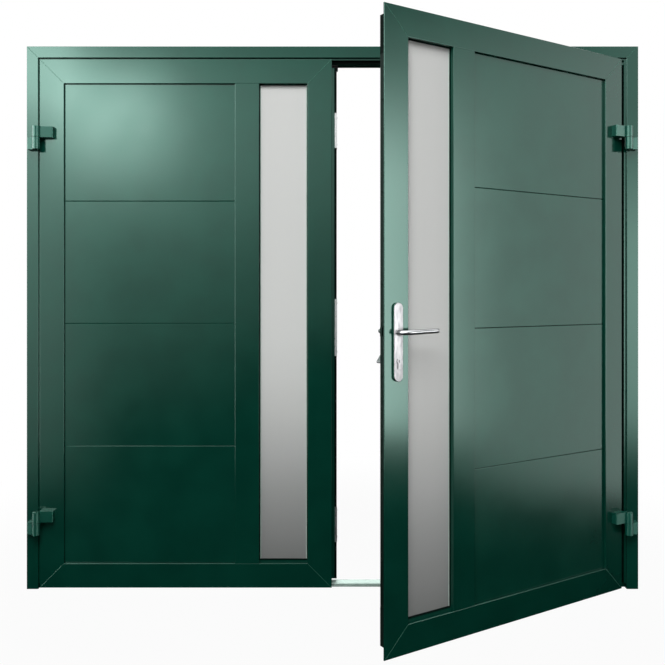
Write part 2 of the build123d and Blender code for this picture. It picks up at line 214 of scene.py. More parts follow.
@dataclass(frozen=True)
class PowderCoat:
    """Polyester powder coat on aluminium or steel, baked to a smooth gloss.

    The film flows out to a faint orange peel and takes the waviness of the metal below,
    so reflections stay clear but bend a little.
    """

    name: str
    colour: str
    shade: str
    gloss_tint: str
    roughness: float
    peel_mm: float
    peel_height_mm: float
    wave_mm: float
    wave_height_mm: float
    cloud_mm: float = 140.0
    cloud_tones: tuple[float, float] = (0.35, 0.65)
    rough_spread: float = 0.1
    ior: float = 1.5

    def build(self) -> bpy.types.Material:
        """Makes the material of this coat.

        Returns:
            The finished material.
        """
        material, tree = new_material(self.name)
        place = add_node(tree, "ShaderNodeTexCoord", output="Object")
        # Slow cloudiness of the pigment, a hand's width across
        cloud = add_node(
            tree,
            "ShaderNodeTexNoise",
            {"Vector": place, "Scale": 1 / (self.cloud_mm * MM), "Detail": 3.0},
        )
        wave = add_node(
            tree,
            "ShaderNodeTexNoise",
            {"Vector": place, "Scale": 1 / (self.wave_mm * MM), "Detail": 1.0},
        )
        waved = add_node(
            tree,
            "ShaderNodeBump",
            {"Strength": 1.0, "Distance": self.wave_height_mm * MM, "Height": wave},
        )
        peel = add_node(
            tree,
            "ShaderNodeTexNoise",
            {"Vector": place, "Scale": 1 / (self.peel_mm * MM), "Detail": 2.0},
        )
        peeled = add_node(
            tree,
            "ShaderNodeBump",
            {
                "Strength": 1.0,
                "Distance": self.peel_height_mm * MM,
                "Height": peel,
                "Normal": waved,
            },
        )
        tint = linear(self.gloss_tint)
        shade_surface(
            tree,
            cloud,
            list(zip(self.cloud_tones, (self.colour, self.shade))),
            cloud,
            (self.roughness * (1 - self.rough_spread), self.roughness * (1 + self.rough_spread)),
            {"IOR": self.ior, "Specular Tint": tint, "Normal": peeled},
        )
        return material


@dataclass(frozen=True)
class FrostedGlass:
    """Acid etched float glass: a pale satin face that scatters light and hides the inside.

    The colour of the pane is painted light and shade: light in its upper half, greying towards its foot.
    """

    name: str
    fade: tuple[tuple[float, str], ...]
    low: float
    high: float
    roughness: float
    grain_mm: float
    grain_height_mm: float
    rough_spread: float = 0.05
    ior: float = 1.45
    gloss: float = 0.25

    def build(self) -> bpy.types.Material:
        """Makes the material of this glass.

        Returns:
            The finished material.
        """
        material, tree = new_material(self.name)
        place = add_node(tree, "ShaderNodeTexCoord", output="Object")
        # Painted shade: the pane's colour follows its height and darkens towards the foot
        split = add_node(tree, "ShaderNodeSeparateXYZ", {"Vector": place}, output="Z")
        height = add_node(
            tree,
            "ShaderNodeMapRange",
            {"Value": split, "From Min": self.low, "From Max": self.high},
        )
        # Etch grain, drawn coarser than the real tenth of a millimetre so that it shows
        grain = add_node(
            tree,
            "ShaderNodeTexNoise",
            {"Vector": place, "Scale": 1 / (self.grain_mm * MM), "Detail": 2.0},
        )
        bump = add_node(
            tree,
            "ShaderNodeBump",
            {"Strength": 1.0, "Distance": self.grain_height_mm * MM, "Height": grain},
        )
        shade_surface(
            tree,
            height,
            self.fade,
            grain,
            (self.roughness - self.rough_spread, self.roughness + self.rough_spread),
            {"IOR": self.ior, "Specular IOR Level": self.gloss, "Normal": bump},
        )
        return material


@dataclass(frozen=True)
class DrawnMetal:
    """Metal with the fine lines of extruding, rolling or brushing along one direction."""

    name: str
    colour: str
    shade: str
    roughness: float
    line_mm: tuple[float, float, float]
    line_height_mm: float
    metallic: float = 1.0
    line_tones: tuple[float, float] = (0.3, 0.7)
    rough_spread: float = 0.15

    def build(self) -> bpy.types.Material:
        """Makes the material of this metal.

        Returns:
            The finished material.
        """
        material, tree = new_material(self.name)
        place = add_node(tree, "ShaderNodeTexCoord", output="Object")
        scale = tuple(1 / (size * MM) for size in self.line_mm)
        stretched = add_node(tree, "ShaderNodeMapping", {"Vector": place, "Scale": scale})
        lines = add_node(
            tree,
            "ShaderNodeTexNoise",
            {"Vector": stretched, "Scale": 1.0, "Detail": 2.0},
        )
        bump = add_node(
            tree,
            "ShaderNodeBump",
            {"Strength": 1.0, "Distance": self.line_height_mm * MM, "Height": lines},
        )
        shade_surface(
            tree,
            lines,
            list(zip(self.line_tones, (self.shade, self.colour))),
            lines,
            (self.roughness * (1 + self.rough_spread), self.roughness * (1 - self.rough_spread)),
            {"Metallic": self.metallic, "Normal": bump},
        )
        return material


@dataclass(frozen=True)
class MattPolymer:
    """Extruded rubber or moulded plastic with a dull, finely grained skin."""

    name: str
    colour: str
    bloom: str
    roughness: float
    grain_mm: float
    grain_height_mm: float
    gloss: float
    grain_tones: tuple[float, float] = (0.4, 0.8)
    rough_spread: float = 0.06
    ior: float = 1.5

    def build(self) -> bpy.types.Material:
        """Makes the material of this polymer.

        Returns:
            The finished material.
        """
        material, tree = new_material(self.name)
        place = add_node(tree, "ShaderNodeTexCoord", output="Object")
        grain = add_node(
            tree,
            "ShaderNodeTexNoise",
            {"Vector": place, "Scale": 1 / (self.grain_mm * MM), "Detail": 3.0},
        )
        bump = add_node(
            tree,
            "ShaderNodeBump",
            {"Strength": 1.0, "Distance": self.grain_height_mm * MM, "Height": grain},
        )
        shade_surface(
            tree,
            grain,
            list(zip(self.grain_tones, (self.colour, self.bloom))),
            grain,
            (self.roughness - self.rough_spread, self.roughness + self.rough_spread),
            {"IOR": self.ior, "Specular IOR Level": self.gloss, "Normal": bump},
        )
        return material


FINISHES: dict[Finish, PowderCoat | FrostedGlass | DrawnMetal | MattPolymer] = {
    # Moss green gloss powder coat on extruded aluminium: dark, with clear reflections
    Finish.FRAME_PAINT: PowderCoat(
        "powder_coated_aluminium",
        "#04352A",
        "#053A2E",
        "#D0FFF0",
        roughness=0.11,
        peel_mm=4.0,
        peel_height_mm=0.006,
        wave_mm=350.0,
        wave_height_mm=0.15,
    ),
    # The same coat on thin sheet steel over foam: a little duller, and wavier
    Finish.PANEL_PAINT: PowderCoat(
        "powder_coated_sheet_steel",
        "#04352A",
        "#053A2E",
        "#D0FFF0",
        roughness=0.14,
        peel_mm=4.0,
        peel_height_mm=0.008,
        wave_mm=260.0,
        wave_height_mm=0.3,
    ),
    # The coat on the cast hinges: satin, so that it spreads the light, and paler than the frame's coat as painted
    # light on the hinges
    Finish.CAST_PAINT_PAINTED_LIGHT: PowderCoat(
        "zinc_casting_coat_painted_light",
        "#073F33",
        "#08463A",
        "#D0FFF0",
        roughness=0.28,
        peel_mm=3.0,
        peel_height_mm=0.01,
        wave_mm=120.0,
        wave_height_mm=0.05,
    ),
    # Sealant in the mitres and under the handle plates, paler than the coat and dull: a painted highlight along
    # the mitres and a painted shadow beside the plates
    Finish.JOINT_SEALANT_PAINTED_LIGHT: MattPolymer(
        "acrylic_sealant_and_painted_light",
        "#275546",
        "#2F6152",
        roughness=0.45,
        grain_mm=2.5,
        grain_height_mm=0.02,
        gloss=0.25,
    ),
    # Clear sealant up the sides of the panes, drawn as a pale, shiny thread whose pale colour is a painted
    # highlight
    Finish.SEALANT_PAINTED_HIGHLIGHT: MattPolymer(
        "silicone_painted_highlight",
        "#A9BEB5",
        "#B4C8BF",
        roughness=0.3,
        grain_mm=4.0,
        grain_height_mm=0.01,
        gloss=0.5,
    ),
    # Etched glass with painted shade by height: pale grey above and darker towards the foot
    Finish.FROSTED_GLASS: FrostedGlass(
        "acid_etched_glass",
        fade=(
            (0.0, "#7C7D7C"),
            (0.075, "#919291"),
            (0.144, "#A3A4A3"),
            (0.221, "#BABBBA"),
            (0.303, "#CCCDCB"),
            (0.378, "#D6D7D5"),
            (0.457, "#DADBD9"),
            (0.548, "#D8D9D7"),
            (0.665, "#D4D5D3"),
            (0.83, "#CFD0CE"),
            (0.947, "#CACBC9"),
        ),
        low=0.12,
        high=2.0,
        roughness=0.55,
        grain_mm=1.5,
        grain_height_mm=0.02,
    ),
    # Extruded black weather seal: dull, with a faint grey bloom
    Finish.BLACK_SEAL: MattPolymer(
        "extruded_rubber",
        "#040A08",
        "#07100D",
        roughness=0.7,
        grain_mm=2.5,
        grain_height_mm=0.05,
        gloss=0.02,
    ),
    # Moulded black nylon: a fine eroded grain
    Finish.BLACK_PLASTIC: MattPolymer(
        "moulded_nylon",
        "#080909",
        "#0F1010",
        roughness=0.5,
        grain_mm=1.5,
        grain_height_mm=0.03,
        gloss=0.05,
    ),
    # Natural anodised aluminium threshold: pale, slightly green grey with die lines along it
    Finish.THRESHOLD_METAL: DrawnMetal(
        "anodised_aluminium",
        "#A8BCB4",
        "#99ADA5",
        roughness=0.45,
        line_mm=(420.0, 2.4, 2.4),
        line_height_mm=0.02,
        metallic=0.3,
    ),
    # Bead blasted chrome of plates, collars and cylinder: an even, pale satin, hardly a mirror
    Finish.BLASTED_METAL: DrawnMetal(
        "bead_blasted_chrome_zinc",
        "#919192",
        "#7E7E80",
        roughness=0.46,
        line_mm=(9.0, 9.0, 22.0),
        line_height_mm=0.03,
    ),
    # Polished chrome on the cast levers and the thumb turn: bright above, dark below
    Finish.HANDLE_METAL: DrawnMetal(
        "polished_chrome_zinc",
        "#919394",
        "#838586",
        roughness=0.3,
        line_mm=(1.6, 1.6, 60.0),
        line_height_mm=0.004,
    ),
    # Burnished lock face and its screws in the free edge: nearly black, with a dull sheen
    Finish.BURNISHED_STEEL: DrawnMetal(
        "burnished_steel",
        "#0C1814",
        "#09120F",
        roughness=0.36,
        line_mm=(3.0, 3.0, 40.0),
        line_height_mm=0.006,
    ),
    # Bright zinc plated steel of the keeps, the spindle and the other screws
    Finish.LOCK_STEEL: DrawnMetal(
        "zinc_plated_steel",
        "#C6C7C6",
        "#A9ABAC",
        roughness=0.3,
        line_mm=(3.0, 3.0, 30.0),
        line_height_mm=0.006,
    ),
}

# Nodes that are finished otherwise than the rest of their slot
NODE_FINISHES: dict[str, Finish] = {
    "lock_face": Finish.BURNISHED_STEEL,
    "lock_cylinder": Finish.BLASTED_METAL,
    # The hinges take the paler coat that paints light on them
    **{
        f"{side}_{level}_{half}_hinge": Finish.CAST_PAINT_PAINTED_LIGHT
        for side in SIDES
        for level in LEVELS
        for half in ("frame", "leaf")
    },
}


class Finishes:
    """Builds each finish once and dresses CAD nodes and pieces with it."""

    def __init__(self) -> None:
        """Builds the materials of all finishes."""
        self.materials = {finish: maker.build() for finish, maker in FINISHES.items()}

    def dress_cad(self) -> None:
        """Puts its own finish, or that of its slot, on every CAD node."""
        for subpart in frame["record"]["subparts"]:
            node = frame["nodes"][subpart["node"]]
            plain = Finish(subpart["material_slot"])
            material = self.materials[NODE_FINISHES.get(subpart["node"], plain)]
            if not node.material_slots:
                node.data.materials.append(material)
            for place in node.material_slots:
                place.material = material


# Places and pieces


@dataclass(frozen=True)
class Swing:
    """Where a leaf hangs, and how far it stands open at rest."""

    body: Body
    pivot: Vector
    turn: float

    @classmethod
    def of_joint(cls, name: str, body: Body) -> "Swing":
        """Reads a leaf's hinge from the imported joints.

        Args:
            name: Name of the leaf's joint.
            body: Body that hangs on it.

        Returns:
            The swing of that leaf.
        """
        joint = next(j for j in frame["joints"] if j["name"] == name)
        closed = math.radians(joint["range_deg"][0]) * joint["axis"][2]
        return cls(body, Vector(joint["pos_m"]), -closed)

    @property
    def to_rest(self) -> Matrix:
        """Matrix from the closed leaf to the leaf at rest."""
        shift = Matrix.Translation(self.pivot)
        return shift @ Matrix.Rotation(self.turn, 4, "Z") @ shift.inverted()

    def box(self, node: str) -> tuple[Vector, Vector]:
        """Measures a CAD node as it stands with the leaf closed.

        Args:
            node: Name of the CAD node.

        Returns:
            Its lowest and highest corners in metres.
        """
        back = self.to_rest.inverted()
        points = [back @ v.co for v in frame["nodes"][node].data.vertices]
        low = Vector(min(p[i] for p in points) for i in range(3))
        high = Vector(max(p[i] for p in points) for i in range(3))
        return low, high

    def point(self, place: Sequence[float]) -> Vector:
        """Returns where a point at rest stands with the leaf closed."""
        return self.to_rest.inverted() @ Vector(place)


def joint_place(name: str) -> Vector:
    """Returns an imported joint's position at rest in metres."""
    return Vector(next(j for j in frame["joints"] if j["name"] == name)["pos_m"])


@dataclass
class Workshop:
    """Turns meshes into pieces of the door and reports them."""

    finishes: Finishes

    def piece(
        self,
        name: str,
        mesh: bpy.types.Mesh,
        body: Body,
        slot: Slot,
        place: Matrix | None = None,
        replaces: Iterable[str] = (),
        smooth_deg: float = 35.0,
        finish: Finish | None = None,
    ) -> bpy.types.Object:
        """Adds one mesh to the door.

        Args:
            name: Name of the piece.
            mesh: Its mesh in metres.
            body: Body that it rides on.
            slot: Material slot whose finish it takes, unless another is given.
            place: Matrix that brings the mesh to its place at rest.
            replaces: CAD nodes that it stands for.
            smooth_deg: Edges flatter than this angle are shaded smooth.
            finish: Its look, where that differs from its slot's.

        Returns:
            The new object.
        """
        if place is not None:
            mesh.transform(place)
        mesh.materials.clear()
        mesh.materials.append(self.finishes.materials[finish or Finish(slot.value)])
        mesh.name = name
        self.shade(mesh, smooth_deg)
        obj = bpy.data.objects.new(name, mesh)
        bpy.context.scene.collection.objects.link(obj)
        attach(obj, body.value)
        for node in replaces:
            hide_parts(node)
        LOG.info("%s: %d faces on %s", name, len(mesh.polygons), body.value)
        return obj

    def repeat(
        self,
        name: str,
        tree: bpy.types.NodeTree,
        base: bpy.types.Mesh,
        values: Mapping[str, Any],
        body: Body,
        slot: Slot,
        place: Matrix | None = None,
        finish: Finish | None = None,
    ) -> None:
        """Adds what a tree makes of its base as one piece.

        Args:
            name: Name of the piece.
            tree: Geometry Nodes tree to run.
            base: Points or paths that it works on.
            values: Sizes and turns that it takes, by input name.
            body: Body that the piece rides on.
            slot: Material slot whose finish it takes, unless another is given.
            place: Matrix that brings the mesh to its place at rest.
            finish: Its look, where that differs from its slot's.
        """
        material = self.finishes.materials[finish or Finish(slot.value)]
        mesh = RepeatTree.run(tree, base, {**values, "Material": material})
        self.piece(name, mesh, body, slot, place=place, finish=finish)

    @staticmethod
    def shade(mesh: bpy.types.Mesh, smooth_deg: float) -> None:
        """Merges doubles, turns faces outwards and shades flat-lying edges smooth.

        Args:
            mesh: Mesh to finish.
            smooth_deg: Largest angle at an edge that stays smooth.
        """
        work = bmesh.new()
        work.from_mesh(mesh)
        bmesh.ops.remove_doubles(work, verts=work.verts, dist=WELD)
        bmesh.ops.recalc_face_normals(work, faces=work.faces)
        limit = math.radians(smooth_deg)
        for face in work.faces:
            face.smooth = True
        for edge in work.edges:
            edge.smooth = edge.is_manifold and edge.calc_face_angle(math.pi) < limit
        work.to_mesh(mesh)
        work.free()


def rings_mesh(
    name: str, rings: Sequence[Sequence[Vector]], bored: bool = False
) -> bpy.types.Mesh:
    """Skins a row of rings into a closed mesh.

    Args:
        name: Name of the mesh.
        rings: Rings with the same number of points, in order along the piece.
        bored: Whether the last ring joins the first, for a piece with a bore through it.

    Returns:
        A mesh with quads between the rings, and a cap at each end if it is not bored.
    """
    work = bmesh.new()
    made = [[work.verts.new(p) for p in ring] for ring in rings]
    count = len(made[0])
    if bored:
        made.append(made[0])
    for near, far in zip(made, made[1:]):
        for i in range(count):
            j = (i + 1) % count
            work.faces.new((near[i], near[j], far[j], far[i]))
    if not bored:
        work.faces.new(list(reversed(made[0])))
        work.faces.new(made[-1])
    mesh = bpy.data.meshes.new(name)
    work.to_mesh(mesh)
    work.free()
    return mesh


def boxes_mesh(name: str, boxes: Iterable[tuple[Vector, Vector]]) -> bpy.types.Mesh:
    """Makes square-edged boxes.

    Args:
        name: Name of the mesh.
        boxes: Lowest and highest corner of each box.

    Returns:
        One mesh with all the boxes.
    """
    work = bmesh.new()
    for low, high in boxes:
        place = Matrix.LocRotScale((low + high) / 2, None, high - low)
        bmesh.ops.create_cube(work, matrix=place)
    mesh = bpy.data.meshes.new(name)
    work.to_mesh(mesh)
    work.free()
    return mesh


def points_mesh(name: str, points: Iterable[Sequence[float]]) -> bpy.types.Mesh:
    """Makes loose points, one for each place of a repeated part.

    Args:
        name: Name of the mesh.
        points: Places in metres.

    Returns:
        A mesh of the points alone.
    """
    mesh = bpy.data.meshes.new(name)
    mesh.from_pydata([tuple(p) for p in points], [], [])
    return mesh


def path_mesh(name: str, paths: Iterable[Sequence[Sequence[float]]]) -> bpy.types.Mesh:
    """Makes open polylines that a section is swept along.

    Args:
        name: Name of the mesh.
        paths: Points of each line, in order.

    Returns:
        A mesh of the lines' edges.
    """
    points: list[tuple[float, ...]] = []
    edges: list[tuple[int, int]] = []
    for path in paths:
        start = len(points)
        points.extend(tuple(p) for p in path)
        edges.extend((i, i + 1) for i in range(start, len(points) - 1))
    mesh = bpy.data.meshes.new(name)
    mesh.from_pydata(points, edges, [])
    return mesh


# Geometry Nodes trees


class RepeatTree:
    """A Geometry Nodes tree with named inputs, ending in one real mesh."""

    name: ClassVar[str]
    inputs: ClassVar[Mapping[str, str]]

    def start(self) -> tuple[bpy.types.NodeTree, Mapping[str, bpy.types.NodeSocket]]:
        """Makes the tree with its named inputs.

        Returns:
            The tree, and the sockets that give its inputs, by name.
        """
        tree = bpy.data.node_groups.new(self.name, "GeometryNodeTree")
        for label, kind in {"Geometry": "NodeSocketGeometry", **self.inputs}.items():
            tree.interface.new_socket(label, in_out="INPUT", socket_type=kind)
        tree.interface.new_socket("Geometry", in_out="OUTPUT", socket_type="NodeSocketGeometry")
        return tree, add_node(tree, "NodeGroupInput").node.outputs

    @staticmethod
    def end(
        tree: bpy.types.NodeTree,
        geometry: bpy.types.NodeSocket,
        material: bpy.types.NodeSocket,
    ) -> None:
        """Ends a tree in real, dressed geometry.

        Args:
            tree: Tree to end.
            geometry: What its own nodes made.
            material: Socket that gives the material.
        """
        real = add_node(tree, "GeometryNodeRealizeInstances", {"Geometry": geometry})
        dressed = add_node(
            tree, "GeometryNodeSetMaterial", {"Geometry": real, "Material": material}
        )
        add_node(tree, "NodeGroupOutput", {"Geometry": dressed})

    def end_on_points(
        self,
        tree: bpy.types.NodeTree,
        given: Mapping[str, bpy.types.NodeSocket],
        shape: bpy.types.NodeSocket,
    ) -> None:
        """Ends a tree with one shape on every point of its base.

        Args:
            tree: Tree to end.
            given: Sockets that give its inputs, by name.
            shape: The shape to repeat.
        """
        points = add_node(tree, "GeometryNodeMeshToPoints", {"Mesh": given["Geometry"]})
        placed = add_node(
            tree,
            "GeometryNodeInstanceOnPoints",
            {"Points": points, "Instance": shape, "Rotation": given["Tilt"]},
        )
        self.end(tree, placed, given["Material"])

    @staticmethod
    def run(
        tree: bpy.types.NodeTree, base: bpy.types.Mesh, values: Mapping[str, Any]
    ) -> bpy.types.Mesh:
        """Runs a tree on a base mesh.

        Args:
            tree: Tree to run.
            base: Points or paths that it works on.
            values: Input name to value.

        Returns:
            The result as a plain mesh.
        """
        holder = bpy.data.objects.new(f"{tree.name}_base", base)
        bpy.context.scene.collection.objects.link(holder)
        modifier = holder.modifiers.new(tree.name, "NODES")
        modifier.node_group = tree
        for item in tree.interface.items_tree:
            if item.in_out == "INPUT" and item.name in values:
                modifier[item.identifier] = values[item.name]
        graph = bpy.context.evaluated_depsgraph_get()
        mesh = bpy.data.meshes.new_from_object(holder.evaluated_get(graph))
        holder.modifiers.clear()
        bpy.data.objects.remove(holder)
        return mesh


@dataclass(frozen=True)
class ScrewTree(RepeatTree):
    """Countersunk heads with a six-sided socket, one on each point."""

    name: ClassVar[str] = "countersunk_screws"
    inputs: ClassVar[Mapping[str, str]] = {
        "Head Radius": "NodeSocketFloat",
        "Head Height": "NodeSocketFloat",
        "Socket Radius": "NodeSocketFloat",
        "Tilt": "NodeSocketVector",
        "Material": "NodeSocketMaterial",
    }
    sides: int = 28
    socket_sides: int = 6
    crown_share: float = 0.86
    socket_lift: float = 0.9

    def build(self) -> bpy.types.NodeTree:
        """Makes the tree.

        Returns:
            The finished tree.
        """
        tree, given = self.start()
        radius, height = given["Head Radius"], given["Head Height"]
        crown = add_node(
            tree, "ShaderNodeMath", {0: radius, 1: self.crown_share}, operation="MULTIPLY"
        )
        head = add_node(
            tree,
            "GeometryNodeMeshCone",
            {
                "Vertices": self.sides,
                "Radius Top": crown,
                "Radius Bottom": radius,
                "Depth": height,
            },
        )
        socket = add_node(
            tree,
            "GeometryNodeMeshCylinder",
            {"Vertices": self.socket_sides, "Radius": given["Socket Radius"], "Depth": height},
        )
        sunk = add_node(
            tree, "ShaderNodeMath", {0: height, 1: self.socket_lift}, operation="MULTIPLY"
        )
        lift = add_node(tree, "ShaderNodeCombineXYZ", {"Z": sunk})
        raised = add_node(tree, "GeometryNodeTransform", {"Geometry": socket, "Translation": lift})
        cut = add_node(
            tree,
            "GeometryNodeMeshBoolean",
            {"Mesh 1": head, "Mesh 2": raised},
            operation="DIFFERENCE",
        )
        self.end_on_points(tree, given, cut)
        return tree


@dataclass(frozen=True)
class CapTree(RepeatTree):
    """Low domed caps with a straight rim, one on each point."""

    name: ClassVar[str] = "domed_caps"
    inputs: ClassVar[Mapping[str, str]] = {
        "Radius": "NodeSocketFloat",
        "Rim": "NodeSocketFloat",
        "Dome": "NodeSocketFloat",
        "Tilt": "NodeSocketVector",
        "Material": "NodeSocketMaterial",
    }
    sides: int = 28
    steps: int = 12
    rim_share: float = 0.1
    least_share: float = 0.02

    @staticmethod
    def values(
        sizes_mm: tuple[float, float, float], tilt: tuple[float, float, float]
    ) -> dict[str, Any]:
        """Returns the tree's inputs for caps of a radius, rim and dome, turned by a tilt."""
        radius, rim, dome = sizes_mm
        return {"Radius": radius * MM, "Rim": rim * MM, "Dome": dome * MM, "Tilt": tilt}

    def build(self) -> bpy.types.NodeTree:
        """Makes the tree.

        Returns:
            The finished tree.
        """
        tree, given = self.start()
        # Axis of the cap, with a circle swept up it that shrinks to the crown
        line = add_node(
            tree, "GeometryNodeCurvePrimitiveLine", {"Start": (0, 0, 0), "End": (0, 0, 1)}
        )
        fine = add_node(tree, "GeometryNodeResampleCurve", {"Curve": line, "Count": self.steps})
        share = add_node(tree, "GeometryNodeSplineParameter", output="Factor")
        # The first tenth of the line climbs the rim, the rest closes over the dome
        closing = add_node(
            tree,
            "ShaderNodeMapRange",
            {
                "Value": share,
                "From Min": self.rim_share,
                "From Max": 1.0,
                "To Min": 0.0,
                "To Max": math.pi / 2,
            },
        )
        shrink = add_node(tree, "ShaderNodeMath", {0: closing}, operation="COSINE")
        floor = add_node(
            tree, "ShaderNodeMath", {0: shrink, 1: self.least_share}, operation="MAXIMUM"
        )
        reach = add_node(
            tree, "ShaderNodeMath", {0: floor, 1: given["Radius"]}, operation="MULTIPLY"
        )
        climb = add_node(tree, "ShaderNodeMath", {0: closing}, operation="SINE")
        crown = add_node(
            tree, "ShaderNodeMath", {0: climb, 1: given["Dome"]}, operation="MULTIPLY"
        )
        foot = add_node(
            tree,
            "ShaderNodeMapRange",
            {
                "Value": share,
                "From Min": 0.0,
                "From Max": self.rim_share,
                "To Min": 0.0,
                "To Max": 1.0,
            },
        )
        lifted = add_node(tree, "ShaderNodeMath", {0: foot, 1: given["Rim"]}, operation="MULTIPLY")
        level = add_node(tree, "ShaderNodeMath", {0: lifted, 1: crown}, operation="ADD")
        spot = add_node(tree, "ShaderNodeCombineXYZ", {"Z": level})
        axis = add_node(tree, "GeometryNodeSetPosition", {"Geometry": fine, "Position": spot})
        ring = add_node(
            tree, "GeometryNodeCurvePrimitiveCircle", {"Resolution": self.sides, "Radius": 1.0}
        )
        shell = add_node(
            tree,
            "GeometryNodeCurveToMesh",
            {"Curve": axis, "Profile Curve": ring, "Scale": reach, "Fill Caps": True},
        )
        self.end_on_points(tree, given, shell)
        return tree


@dataclass(frozen=True)
class BeadTree(RepeatTree):
    """Thin round beads, swept along every path."""

    name: ClassVar[str] = "swept_beads"
    inputs: ClassVar[Mapping[str, str]] = {
        "Radius": "NodeSocketFloat",
        "Material": "NodeSocketMaterial",
    }
    sides: int = 12

    def build(self) -> bpy.types.NodeTree:
        """Makes the tree.

        Returns:
            The finished tree.
        """
        tree, given = self.start()
        curve = add_node(tree, "GeometryNodeMeshToCurve", {"Mesh": given["Geometry"]})
        ring = add_node(
            tree,
            "GeometryNodeCurvePrimitiveCircle",
            {"Resolution": self.sides, "Radius": given["Radius"]},
        )
        ribs = add_node(
            tree,
            "GeometryNodeCurveToMesh",
            {"Curve": curve, "Profile Curve": ring, "Fill Caps": True},
        )
        self.end(tree, ribs, given["Material"])
        return tree


# Sub-assemblies


